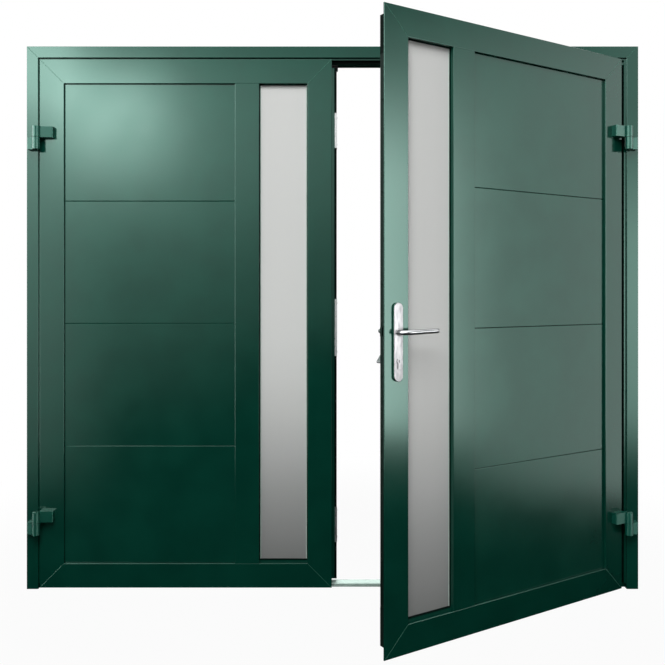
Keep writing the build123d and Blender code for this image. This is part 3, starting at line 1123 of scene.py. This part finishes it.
@dataclass
class HandleSet:
    """Lever handles and backplates on the free stile of the right leaf."""

    shop: Workshop
    swing: Swing
    rim_mm: float = 2.0
    rim_steps: int = 5
    rim_smooth_deg: float = 50.0
    end_steps: int = 20
    underplate_shadow_mm: float = 5.5
    underplate_shadow_inset_mm: float = 0.4
    collar_radius_mm: float = 11.0
    collar_depth_mm: float = 3.0
    collar_round_mm: float = 1.0
    collar_fit_mm: float = 0.5
    neck_radius_mm: float = 8.3
    bend_mm: float = 27.0
    bend_steps: int = 12
    grip_steps: int = 12
    grip_smooth_deg: float = 60.0
    tip_radius_mm: float = 7.6
    tip_flat: float = 0.86
    tip_round_mm: float = 4.0
    tip_steps: int = 5
    tilt_deg: float = 1.5
    sides: int = 28

    def build(self) -> None:
        """Builds both plates, both collars and both levers."""
        for side, outward in (("outside", -1), ("inside", 1)):
            self.plate(side, outward)
            self.collar(side, outward)
            self.lever(side, outward)

    def plate(self, side: str, outward: int) -> None:
        """Makes a long plate with rounded ends and a rolled rim, on a moulded under-plate whose dull band beside
        it is a painted shadow.

        Args:
            side: Name of the plate's side of the leaf.
            outward: Sign of Y that points away from the leaf.
        """
        low, high = self.swing.box(f"{side}_backplate")
        foot = low.y if outward > 0 else high.y
        depth = high.y - low.y
        rim = self.rim_mm * MM
        underplate_shadow_depth = self.underplate_shadow_mm * MM
        rings = [self._slot_ring(low, high, 0.0, foot + outward * underplate_shadow_depth)]
        for i in range(self.rim_steps + 1):
            angle = math.pi / 2 * i / self.rim_steps
            inset = rim * (1 - math.cos(angle))
            level = depth - rim + rim * math.sin(angle)
            rings.append(self._slot_ring(low, high, inset, foot + outward * level))
        name = f"{side}_plate"
        self.shop.piece(
            name,
            rings_mesh(name, rings),
            Body.RIGHT_LEAF,
            Slot.HANDLE_METAL,
            place=self.swing.to_rest,
            replaces=(f"{side}_backplate",),
            smooth_deg=self.rim_smooth_deg,
            finish=Finish.BLASTED_METAL,
        )
        # Under-plate in the pale sealant: its band beside the plate paints the plate's shadow on the stile
        inset = self.underplate_shadow_inset_mm * MM
        rings = [
            self._slot_ring(low, high, inset, foot + outward * level) for level in (0.0, underplate_shadow_depth)
        ]
        name = f"{side}_plate_underplate_shadow"
        self.shop.piece(
            name,
            rings_mesh(name, rings),
            Body.RIGHT_LEAF,
            Slot.BLACK_PLASTIC,
            place=self.swing.to_rest,
            finish=Finish.JOINT_SEALANT_PAINTED_LIGHT,
        )

    def _slot_ring(self, low: Vector, high: Vector, inset: float, y: float) -> list[Vector]:
        """Draws one outline of the plate.

        Args:
            low: Lowest corner of the plate.
            high: Its highest corner.
            inset: How far the outline is drawn in.
            y: Depth that it lies at.

        Returns:
            The outline's points, over the top end and then round the lower end.
        """
        half = (high.x - low.x) / 2
        x = (high.x + low.x) / 2
        radius = half - inset
        ring: list[Vector] = []
        for centre, start in ((high.z - half, 0.0), (low.z + half, math.pi)):
            for i in range(self.end_steps + 1):
                angle = start + math.pi * i / self.end_steps
                z = centre + radius * math.sin(angle)
                ring.append(Vector((x + radius * math.cos(angle), y, z)))
        return ring

    def collar(self, side: str, outward: int) -> None:
        """Makes the round bearing collar that the lever's neck turns in.

        Args:
            side: Name of the plate's side of the leaf.
            outward: Sign of Y that points away from the leaf.
        """
        low, high = self.swing.box(f"{side}_backplate")
        pin = self.swing.point(joint_place("lever_turn"))
        face = high.y if outward > 0 else low.y
        radius = self.collar_radius_mm * MM
        depth = self.collar_depth_mm * MM
        bevel = self.collar_round_mm * MM
        bore = (self.neck_radius_mm + self.collar_fit_mm) * MM
        rings = [
            self._ring((pin.x, face + outward * level, pin.z), (0, outward, 0), size, size)
            for level, size in (
                (-depth / 2, radius),
                (depth - bevel, radius),
                (depth, radius - bevel),
                (depth, bore),
                (-depth / 2, bore),
            )
        ]
        name = f"{side}_neck_collar"
        self.shop.piece(
            name,
            rings_mesh(name, rings, bored=True),
            Body.RIGHT_LEAF,
            Slot.HANDLE_METAL,
            place=self.swing.to_rest,
            finish=Finish.BLASTED_METAL,
        )

    def lever(self, side: str, outward: int) -> None:
        """Makes a lever with a round neck, a swept bend and a grip that flattens to its tip.

        Args:
            side: Name of the lever's side of the leaf.
            outward: Sign of Y that points away from the leaf.
        """
        low, high = self.swing.box(f"{side}_lever")
        pin = self.swing.point(joint_place("lever_turn"))
        seat, front = (low.y, high.y) if outward > 0 else (high.y, low.y)
        neck = self.neck_radius_mm * MM
        bend = self.bend_mm * MM
        tilt = math.radians(self.tilt_deg)
        along = Vector((math.cos(tilt), 0, math.sin(tilt)))
        out = Vector((0, outward, 0))
        start = Vector((pin.x, front - outward * (neck + bend), pin.z))
        rings = [self._ring(spot, out, neck, neck) for spot in ((pin.x, seat, pin.z), start)]
        for i in range(1, self.bend_steps + 1):
            angle = math.pi / 2 * i / self.bend_steps
            place = start + along * (bend * (1 - math.cos(angle))) + out * (bend * math.sin(angle))
            way = along * math.sin(angle) + out * math.cos(angle)
            rings.append(self._ring(place, way, neck, neck))
        corner = start + along * bend + out * bend
        tip_round = self.tip_round_mm * MM
        run = (high.x - pin.x) / math.cos(tilt) - bend - tip_round
        tip = self.tip_radius_mm * MM
        for i in range(1, self.grip_steps + 1):
            share = i / self.grip_steps
            # Leaves the neck and meets the tip without a kink
            ease = share * share * (3 - 2 * share)
            tall = neck + (tip - neck) * ease
            thick = neck + (tip * self.tip_flat - neck) * ease
            rings.append(self._ring(corner + along * (run * share), along, thick, tall))
        for i in range(1, self.tip_steps):
            angle = math.pi / 2 * i / self.tip_steps
            inset = tip_round * (1 - math.cos(angle))
            place = corner + along * (run + tip_round * math.sin(angle))
            rings.append(self._ring(place, along, tip * self.tip_flat - inset, tip - inset))
        name = f"{side}_grip"
        self.shop.piece(
            name,
            rings_mesh(name, rings),
            Body.LEVER,
            Slot.HANDLE_METAL,
            place=self.swing.to_rest,
            replaces=(f"{side}_lever",),
            smooth_deg=self.grip_smooth_deg,
        )

    def _ring(
        self, place: Sequence[float], way: Sequence[float], thick: float, tall: float
    ) -> list[Vector]:
        """Draws an oval ring about a point, square to the way that the piece runs there.

        Args:
            place: Middle of the ring.
            way: Direction that the piece runs in.
            thick: Half of the ring's width.
            tall: Half of its height.

        Returns:
            The ring's points.
        """
        across = Vector(way).cross(Vector((0, 0, 1))).normalized()
        centre = Vector(place)
        ring: list[Vector] = []
        for i in range(self.sides):
            angle = 2 * math.pi * i / self.sides
            rise = Vector((0, 0, tall * math.sin(angle)))
            ring.append(centre + across * (thick * math.cos(angle)) + rise)
        return ring


@dataclass
class LockFurniture:
    """Screws of the lock face, the keeps and the inside plate, and the strips by the lock face."""

    shop: Workshop
    left: Swing
    right: Swing
    screw_radius_mm: float = 4.2
    screw_height_mm: float = 1.2
    socket_radius_mm: float = 2.0
    keep_end_mm: float = 16.0
    face_mm: float = 2.5
    face_pitch_mm: float = 300.0
    latch_clear_mm: float = 40.0
    plate_end_mm: float = 6.0
    strip_mm: float = 3.0
    strip_rise_mm: float = 7.0
    rebate_step_mm: float = 28.0

    def build(self, screws: bpy.types.NodeTree) -> None:
        """Sets the screws of the lock, the keeps and the inside plate, and the edge strips.

        Args:
            screws: Tree that makes screw heads on points.
        """
        self._lock_face(screws)
        self._keeps(screws)
        self._inside_plate(screws)
        self._edge_strips()

    def _edge_strips(self) -> None:
        """Lines the free edge with black strips above and below the lock face."""
        low, high = self.right.box("lock_face")
        step = self.rebate_step_mm * MM
        edge = self.right.box("right_top_rail")[0].x + step
        rise = self.strip_rise_mm * MM
        foot = self.right.box("right_bottom_rail")[0].z + step - rise
        top = self.right.box("right_top_rail")[1].z - step + rise
        near = edge - self.strip_mm * MM
        boxes = [
            (Vector((near, low.y, start)), Vector((edge, high.y, end)))
            for start, end in ((foot, low.z), (high.z, top))
        ]
        self.shop.piece(
            "free_edge_strips",
            boxes_mesh("free_edge_strips", boxes),
            Body.RIGHT_LEAF,
            Slot.BLACK_SEAL,
            place=self.right.to_rest,
        )

    def _set(
        self,
        name: str,
        screws: bpy.types.NodeTree,
        places: Sequence[Sequence[float]],
        tilt: tuple[float, float, float],
        body: Body,
        place: Matrix | None = None,
        finish: Finish | None = None,
    ) -> None:
        """Sets one row of screw heads.

        Args:
            name: Name of the row.
            screws: Tree that makes screw heads on points.
            places: Where the heads sit.
            tilt: Turn that points the heads outwards.
            body: Body that they ride on.
            place: Matrix that brings the row to its place at rest.
            finish: Its look, where that differs from its slot's.
        """
        values = {
            "Head Radius": self.screw_radius_mm * MM,
            "Head Height": self.screw_height_mm * MM,
            "Socket Radius": self.socket_radius_mm * MM,
            "Tilt": tilt,
        }
        base = points_mesh(f"{name}_places", places)
        self.shop.repeat(name, screws, base, values, body, Slot.LOCK_STEEL, place, finish)

    def _lock_face(self, screws: bpy.types.NodeTree) -> None:
        """Sets a row of screws down the long lock face, clear of the latch.

        Args:
            screws: Tree that makes screw heads on points.
        """
        low, high = self.right.box("lock_face")
        middle = (low.y + high.y) / 2
        pin = self.right.point(joint_place("lever_turn"))
        surface = high.x - self.face_mm * MM
        length = high.z - low.z
        clear = self.latch_clear_mm * MM
        count = max(2, round(length / (self.face_pitch_mm * MM)))
        heights = [low.z + length * (i + 0.5) / count for i in range(count)]
        self._set(
            "lock_face_screws",
            screws,
            [(surface, middle, z) for z in heights if abs(z - pin.z) > clear],
            (0, -math.pi / 2, 0),
            Body.RIGHT_LEAF,
            self.right.to_rest,
            Finish.BURNISHED_STEEL,
        )

    def _keeps(self, screws: bpy.types.NodeTree) -> None:
        """Sets two screws on the edge of each keep.

        Args:
            screws: Tree that makes screw heads on points.
        """
        low, high = self.left.box("left_keeps")
        corners = frame["nodes"]["left_keeps"].data.vertices
        rims = sorted({round(v.co.z, SAME_DIGITS) for v in corners})
        middle = (low.y + high.y) / 2
        end = self.keep_end_mm * MM
        places = [
            (high.x, middle, z)
            for foot, top in zip(rims[0::2], rims[1::2])
            for z in (foot + end, top - end)
        ]
        self._set("keep_screws", screws, places, (0, math.pi / 2, 0), Body.LEFT_LEAF)

    def _inside_plate(self, screws: bpy.types.NodeTree) -> None:
        """Sets the two through screws of the handle set on its inside plate.

        Args:
            screws: Tree that makes screw heads on points.
        """
        low, high = self.right.box("inside_backplate")
        middle = (low.x + high.x) / 2
        end = (high.x - low.x) / 2 + self.plate_end_mm * MM
        self._set(
            "inside_plate_screws",
            screws,
            [(middle, high.y, z) for z in (low.z + end, high.z - end)],
            (-math.pi / 2, 0, 0),
            Body.RIGHT_LEAF,
            self.right.to_rest,
        )


@dataclass
class HingeCaps:
    """Domed ends of the hinge pins, and the washers between the knuckles."""

    shop: Workshop
    swings: tuple[Swing, Swing]
    radius_mm: float = 9.0
    rim_mm: float = 0.8
    dome_mm: float = 2.2
    washer_radius_mm: float = 15.3
    washer_mm: float = 0.9
    washer_dome_mm: float = 0.05
    knuckle_gap_mm: float = 1.0

    def build(self, caps: bpy.types.NodeTree) -> None:
        """Sets a cap over every leaf half and under every frame half, and a washer between.

        Args:
            caps: Tree that makes domed caps on points.
        """
        upright, upturned = (0.0, 0, 0), (math.pi, 0, 0)
        cap = (self.radius_mm, self.rim_mm, self.dome_mm)
        washer = (self.washer_radius_mm, self.washer_mm, self.washer_dome_mm)
        for swing, side in zip(self.swings, SIDES):
            leaf = [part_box(f"{side}_{level}_leaf_hinge") for level in LEVELS]
            jamb = [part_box(f"{side}_{level}_frame_hinge") for level in LEVELS]
            tops = [high.z for _, high in leaf]
            feet = [low.z for low, _ in jamb]
            joints = [low.z - self.knuckle_gap_mm * MM for low, _ in leaf]
            paint, nylon = Slot.FRAME_PAINT, Slot.BLACK_PLASTIC
            for name, heights, body, slot, sizes, tilt in (
                ("leaf_pin_caps", tops, swing.body, paint, cap, upright),
                ("frame_pin_caps", feet, Body.FRAME, paint, cap, upturned),
                ("hinge_washers", joints, Body.FRAME, nylon, washer, upright),
            ):
                label = f"{side}_{name}"
                places = [(swing.pivot.x, swing.pivot.y, z) for z in heights]
                base = points_mesh(f"{label}_places", places)
                self.shop.repeat(label, caps, base, CapTree.values(sizes, tilt), body, slot)


@dataclass
class FrameFittings:
    """Caps over the fixing bores of the jambs, and the step in the rebate of the frame."""

    shop: Workshop
    cap_radius_mm: float = 8.0
    cap_rim_mm: float = 0.6
    cap_dome_mm: float = 1.2
    stop_width_mm: float = STOP_WIDTH_MM
    stop_setback_mm: float = 24.0
    step_width_mm: float = 7.5
    step_setback_mm: float = 9.5

    def build(self, caps: bpy.types.NodeTree) -> None:
        """Sets the caps on both jambs and the step round the opening.

        Args:
            caps: Tree that makes domed caps on points.
        """
        sizes = (self.cap_radius_mm, self.cap_rim_mm, self.cap_dome_mm)
        for side, sign in zip(SIDES, (-1, 1)):
            low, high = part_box(f"{side}_jamb")
            face = high.x if sign < 0 else low.x
            places = []
            for mount in frame["record"]["mounts"]:
                if mount["kind"] != "bolt_pattern" or not mount["name"].startswith(side):
                    continue
                _, y, z = mount["pos_m"]
                half = mount["dims"]["spacing_y_mm"] * MM / 2
                places += [(face, y, z - half), (face, y, z + half)]
            name = f"{side}_fixing_caps"
            base = points_mesh(f"{name}_places", places)
            values = CapTree.values(sizes, (0, -sign * math.pi / 2, 0))
            self.shop.repeat(name, caps, base, values, Body.FRAME, Slot.BLACK_PLASTIC)
        self._rebate_step()

    def _rebate_step(self) -> None:
        """Runs a narrow step up both jambs and under the head, just behind the leaves' flanges."""
        low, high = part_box("left_jamb")
        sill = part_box("threshold")[1].z
        half = -(high.x - self.stop_width_mm * MM)
        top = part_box("head")[0].z + self.stop_width_mm * MM
        width = self.step_width_mm * MM
        front = low.y + self.step_setback_mm * MM
        back = low.y + self.stop_setback_mm * MM
        boxes = (
            (Vector((-half, front, sill)), Vector((-half + width, back, top))),
            (Vector((half - width, front, sill)), Vector((half, back, top))),
            (Vector((-half + width, front, top - width)), Vector((half - width, back, top))),
        )
        mesh = boxes_mesh("rebate_step", boxes)
        self.shop.piece("rebate_step", mesh, Body.FRAME, Slot.FRAME_PAINT)


@dataclass
class MitreBeads:
    """Fine beads of sealant in the mitred corners of the leaves and the frame, pale as a painted highlight of the
    light caught at each corner.
    """

    shop: Workshop
    swings: tuple[Swing, Swing]
    radius_mm: float = 1.0
    sunk_mm: float = 0.6
    inset_mm: float = 3.0
    stop_width_mm: float = STOP_WIDTH_MM

    def build(self, beads: bpy.types.NodeTree) -> None:
        """Lays a bead over every corner on the street side.

        Args:
            beads: Tree that sweeps beads along paths.
        """
        for swing, leaf in zip(self.swings, SIDES):
            paths = []
            for rail, top in (("top_rail", True), ("bottom_rail", False)):
                low, high = swing.box(f"{leaf}_{rail}")
                paths += self._corners(low, high, high.z - low.z, top)
            self._lay(beads, f"{leaf}_leaf_mitres", paths, swing.body, swing.to_rest)
        low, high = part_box("head")
        face = high.z - low.z - self.stop_width_mm * MM
        paths = self._corners(low, high, face, True)
        self._lay(beads, "frame_mitres", paths, Body.FRAME, Matrix())

    def _corners(
        self, low: Vector, high: Vector, face: float, top: bool
    ) -> list[tuple[Vector, Vector]]:
        """Finds the corner lines at both ends of a rail.

        Args:
            low: Lowest corner of the rail.
            high: Its highest corner.
            face: Width of its face.
            top: Whether it is the upper rail.

        Returns:
            Each line from the rail's outer to its inner edge.
        """
        inset = self.inset_mm * MM
        y = low.y + self.sunk_mm * MM
        edge, down = (high.z, -1) if top else (low.z, 1)
        return [
            (
                Vector((x + way * inset, y, edge + down * inset)),
                Vector((x + way * (face - inset), y, edge + down * (face - inset))),
            )
            for x, way in ((low.x, 1), (high.x, -1))
        ]

    def _lay(
        self,
        beads: bpy.types.NodeTree,
        name: str,
        paths: Sequence[Sequence[Vector]],
        body: Body,
        place: Matrix,
    ) -> None:
        """Lays the beads of one body.

        Args:
            beads: Tree that sweeps beads along paths.
            name: Name of the beads.
            paths: Lines that they lie on.
            body: Body that they ride on.
            place: Matrix that brings them to their place at rest.
        """
        base = path_mesh(f"{name}_paths", paths)
        values = {"Radius": self.radius_mm * MM}
        # Pale sealant whose colour paints the highlight along each mitre
        sealant_and_highlight = Finish.JOINT_SEALANT_PAINTED_LIGHT
        self.shop.repeat(name, beads, base, values, body, Slot.FRAME_PAINT, place, sealant_and_highlight)


@dataclass
class PaneEdges:
    """Threads of clear sealant up the sides of the panes, pale as a painted highlight, and the painted bead at
    their feet.
    """

    shop: Workshop
    swings: tuple[Swing, Swing]
    radius_mm: float = 1.9
    sunk_mm: float = 0.6
    cover_mm: float = 14.0
    seal_show_mm: float = 3.0
    seal_mm: float = 3.0
    bead_mm: float = 3.5
    bead_height_mm: float = 9.0

    def build(self, beads: bpy.types.NodeTree) -> None:
        """Lays a thread down each side of both panes and a bead along each foot.

        Args:
            beads: Tree that sweeps beads along paths.
        """
        inset = (self.cover_mm + self.seal_show_mm) * MM + self.radius_mm * MM
        for swing, leaf in zip(self.swings, SIDES):
            low, high = swing.box(f"{leaf}_glass")
            y = low.y + self.sunk_mm * MM
            paths = [
                (Vector((x, y, low.z + inset)), Vector((x, y, high.z - inset)))
                for x in (low.x + inset, high.x - inset)
            ]
            # Pale threads whose colour paints the highlight along the sides of the panes
            name = f"{leaf}_pane_sealant_painted_glint"
            self.shop.repeat(
                name,
                beads,
                path_mesh(f"{name}_paths", paths),
                {"Radius": self.radius_mm * MM},
                swing.body,
                Slot.FROSTED_GLASS,
                swing.to_rest,
                Finish.SEALANT_PAINTED_HIGHLIGHT,
            )
            self._sill_bead(swing, f"{leaf}_sill_bead", low, high)

    def _sill_bead(self, swing: Swing, name: str, low: Vector, high: Vector) -> None:
        """Sets a painted bead on the bottom rail, before the foot of the seal.

        Args:
            swing: Swing of the leaf.
            name: Name of the bead.
            low: Lowest corner of the glass.
            high: Its highest corner.
        """
        cover = self.cover_mm * MM
        back = low.y - self.seal_mm * MM
        foot = low.z + cover
        near = Vector((low.x + cover, back - self.bead_mm * MM, foot))
        far = Vector((high.x - cover, back, foot + self.bead_height_mm * MM))
        mesh = boxes_mesh(name, [(near, far)])
        self.shop.piece(name, mesh, swing.body, Slot.FRAME_PAINT, place=swing.to_rest)


# Studio


@dataclass(frozen=True)
class Softbox:
    """One soft light of the studio, by the direction that it is seen in from the door.

    Angles are in degrees. Azimuth is 0 towards the street and 90 to the right, and each pair
    of edges gives where the light begins and where it is full.
    """

    level: float
    left: tuple[float, float]
    right: tuple[float, float]
    foot: tuple[float, float]
    top: tuple[float, float]


@dataclass
class Studio:
    """Camera, soft light and pale floor round the door."""

    eye: tuple[float, float, float] = (0.0, -3.136, 1.167)
    lens_mm: float = 42.82
    shift_y: float = -0.0614
    sensor_mm: float = 36.0
    fill: float = 0.36
    key_watts: float = 182.0
    key_size: float = 2.4
    key_place: tuple[float, float, float] = (-0.5, -3.3, 4.3)
    key_aim: tuple[float, float, float] = (0.0, 0.0, 1.0)
    floor_colour: str = "#8C8C8C"
    floor_half: float = 30.0
    floor_drop: float = 0.0005
    fade_reach: tuple[float, float] = (1.0, 2.6)
    fade_share: tuple[float, float] = (0.955, 1.0)
    backdrop: float = 1.0
    backdrop_way: tuple[float, float] = (0.5, 0.8)
    backdrop_foot: tuple[float, float] = (-8.0, 1.0)
    boxes: tuple[Softbox, ...] = (
        # Key box high on the left and the glow of the wall round it
        Softbox(11.5, left=(-21, -17), right=(-9.5, -14.5), foot=(5.5, 13.5), top=(17, 12.5)),
        Softbox(8.0, left=(-60, -40), right=(-16.5, -19.5), foot=(10.5, 14.5), top=(30, 18)),
        Softbox(2.6, left=(-80, -40), right=(16, -18), foot=(-1, 12), top=(20, 14)),
        # Wall behind the camera, darker to its right and towards the floor
        Softbox(0.45, left=(-120, -95), right=(-2, -14), foot=(-9.5, -5.5), top=(70, 40)),
        Softbox(1.15, left=(-120, -95), right=(-15, -20), foot=(-15, -9.5), top=(70, 40)),
        Softbox(0.6, left=(-120, -95), right=(60, 35), foot=(-6, 0), top=(70, 40)),
        # Pale wall far on the left
        Softbox(8.0, left=(-108, -92), right=(-42, -60), foot=(-14, -9), top=(60, 30)),
        # Wall behind the camera on the right, brightest at chest height
        Softbox(1.4, left=(15, 20), right=(60, 40), foot=(-12.5, -8), top=(30, 16)),
        Softbox(3.9, left=(15, 20), right=(60, 40), foot=(-12.5, -7), top=(12, 2)),
        # Large pale reflector on the right, lower at its far end, and the box before it
        Softbox(2.15, left=(35, 60), right=(80, 70), foot=(-12.7, -10.2), top=(24, 14)),
        Softbox(2.1, left=(70, 80), right=(130, 100), foot=(-14.8, -12.7), top=(24, 14)),
        Softbox(8.2, left=(35, 50), right=(77, 66), foot=(-10.9, -8.8), top=(17, 7)),
        # Pale wall of the room behind the door
        Softbox(1.5, left=(120, 145), right=(181, 180), foot=(-2, 8), top=(70, 40)),
        Softbox(1.5, left=(-181, -180), right=(-120, -145), foot=(-2, 8), top=(70, 40)),
        # Pale ceiling
        Softbox(5.0, left=(-181, -180), right=(181, 180), foot=(35, 55), top=(95, 91)),
    )

    def build(self) -> None:
        """Sets the view, the camera, the light and the floor."""
        bpy.context.scene.view_settings.view_transform = "Standard"
        self._camera()
        self._world()
        self._key_lamp()
        self._floor()

    def _camera(self) -> None:
        """Sets a level camera square to the frame, at chest height."""
        data = bpy.data.cameras.new("camera")
        data.sensor_width = self.sensor_mm
        data.lens = self.lens_mm
        data.shift_y = self.shift_y
        camera = bpy.data.objects.new("camera", data)
        camera.location = self.eye
        camera.rotation_euler = (math.pi / 2, 0, 0)
        bpy.context.scene.collection.objects.link(camera)
        bpy.context.scene.camera = camera

    def _world(self) -> None:
        """Makes a white background, with the studio's boxes in what gloss reflects."""
        world = bpy.data.worlds.new("studio")
        bpy.context.scene.world = world
        world.use_nodes = True
        tree = world.node_tree
        tree.nodes.clear()
        way = add_node(tree, "ShaderNodeTexCoord", output="Generated")
        split = add_node(tree, "ShaderNodeSeparateXYZ", {"Vector": way}).node
        across, deep, up = (split.outputs[axis] for axis in "XYZ")
        front = add_node(tree, "ShaderNodeMath", {0: deep, 1: -1.0}, operation="MULTIPLY")
        turn = add_node(tree, "ShaderNodeMath", {0: across, 1: front}, operation="ARCTAN2")
        rise = add_node(tree, "ShaderNodeMath", {0: up}, operation="ARCSINE")
        azimuth, height = (
            add_node(tree, "ShaderNodeMath", {0: angle, 1: 180 / math.pi}, operation="MULTIPLY")
            for angle in (turn, rise)
        )
        # White backdrop behind the door, down to the floor
        behind = add_node(
            tree,
            "ShaderNodeMapRange",
            {
                "Value": deep,
                "From Min": self.backdrop_way[0],
                "From Max": self.backdrop_way[1],
                "To Min": 0.0,
                "To Max": self.backdrop,
            },
            interpolation_type="SMOOTHSTEP",
        )
        above = add_node(
            tree,
            "ShaderNodeMapRange",
            {
                "Value": height,
                "From Min": self.backdrop_foot[0],
                "From Max": self.backdrop_foot[1],
            },
            interpolation_type="SMOOTHSTEP",
        )
        total = add_node(tree, "ShaderNodeMath", {0: behind, 1: above}, operation="MULTIPLY")
        for box in self.boxes:
            part = None
            for value, edges in (
                (azimuth, box.left),
                (azimuth, box.right),
                (height, box.foot),
                (height, box.top),
            ):
                edge = add_node(
                    tree,
                    "ShaderNodeMapRange",
                    {"Value": value, "From Min": edges[0], "From Max": edges[1]},
                    interpolation_type="SMOOTHSTEP",
                )
                level = box.level if part is None else part
                part = add_node(tree, "ShaderNodeMath", {0: edge, 1: level}, operation="MULTIPLY")
            total = add_node(tree, "ShaderNodeMath", {0: total, 1: part}, operation="ADD")
        path = add_node(tree, "ShaderNodeLightPath").node
        seen = add_node(
            tree,
            "ShaderNodeMath",
            {0: path.outputs["Is Camera Ray"], 1: path.outputs["Is Transmission Ray"]},
            operation="MAXIMUM",
        )
        gloss, plain, white = (
            add_node(tree, "ShaderNodeBackground", {"Color": WHITE, "Strength": strength})
            for strength in (total, self.fill, 1.0)
        )
        lit = add_node(
            tree, "ShaderNodeMixShader", {0: path.outputs["Is Glossy Ray"], 1: plain, 2: gloss}
        )
        shown = add_node(tree, "ShaderNodeMixShader", {0: seen, 1: lit, 2: white})
        add_node(tree, "ShaderNodeOutputWorld", {"Surface": shown})

    def _key_lamp(self) -> None:
        """Hangs a broad soft lamp high before the door, which gloss does not mirror."""
        data = bpy.data.lights.new("key", "AREA")
        data.shape = "RECTANGLE"
        data.size = self.key_size
        data.size_y = self.key_size
        data.energy = self.key_watts
        lamp = bpy.data.objects.new("key", data)
        lamp.location = self.key_place
        aim = Vector(self.key_aim) - Vector(lamp.location)
        lamp.rotation_euler = aim.to_track_quat("-Z", "Y").to_euler()
        lamp.visible_glossy = False
        bpy.context.scene.collection.objects.link(lamp)

    def _floor(self) -> None:
        """Lays a pale floor that keeps the door's shadow and fades to the white background."""
        material, tree = new_material("painted_studio_floor")
        place = add_node(tree, "ShaderNodeTexCoord", output="Object")
        reach = add_node(
            tree, "ShaderNodeVectorMath", {0: place}, output="Value", operation="LENGTH"
        )
        fade = add_node(
            tree,
            "ShaderNodeMapRange",
            {
                "Value": reach,
                "From Min": self.fade_reach[0],
                "From Max": self.fade_reach[1],
                "To Min": self.fade_share[0],
                "To Max": self.fade_share[1],
            },
            interpolation_type="SMOOTHSTEP",
        )
        path = add_node(tree, "ShaderNodeLightPath").node
        paint = add_node(tree, "ShaderNodeBsdfDiffuse", {"Color": linear(self.floor_colour)})
        white = add_node(tree, "ShaderNodeEmission", {"Color": WHITE, "Strength": 1.0})
        clear = add_node(tree, "ShaderNodeBsdfTransparent")
        share = add_node(
            tree,
            "ShaderNodeMath",
            {0: fade, 1: path.outputs["Is Camera Ray"]},
            operation="MULTIPLY",
        )
        seen = add_node(tree, "ShaderNodeMixShader", {0: share, 1: paint, 2: white})
        # Gloss looks through the floor to the studio's own dark foot
        shown = add_node(
            tree, "ShaderNodeMixShader", {0: path.outputs["Is Glossy Ray"], 1: seen, 2: clear}
        )
        add_node(tree, "ShaderNodeOutputMaterial", {"Surface": shown})
        half = self.floor_half
        mesh = bpy.data.meshes.new("floor")
        corners = [(-half, -half), (half, -half), (half, half), (-half, half)]
        mesh.from_pydata([(x, y, -self.floor_drop) for x, y in corners], [], [(0, 1, 2, 3)])
        mesh.materials.append(material)
        floor = bpy.data.objects.new("floor", mesh)
        bpy.context.scene.collection.objects.link(floor)


def main() -> None:
    """Dresses the door and sets its studio."""
    logging.basicConfig(level=logging.INFO, format="%(message)s")
    finishes = Finishes()
    finishes.dress_cad()
    shop = Workshop(finishes)
    left = Swing.of_joint("left_leaf_swing", Body.LEFT_LEAF)
    right = Swing.of_joint("right_leaf_swing", Body.RIGHT_LEAF)
    screws = ScrewTree().build()
    caps = CapTree().build()
    HandleSet(shop, right).build()
    LockFurniture(shop, left, right).build(screws)
    HingeCaps(shop, (left, right)).build(caps)
    FrameFittings(shop).build(caps)
    beads = BeadTree().build()
    MitreBeads(shop, (left, right)).build(beads)
    PaneEdges(shop, (left, right)).build(beads)
    Studio().build()


if __name__ == "__main__":
    main()
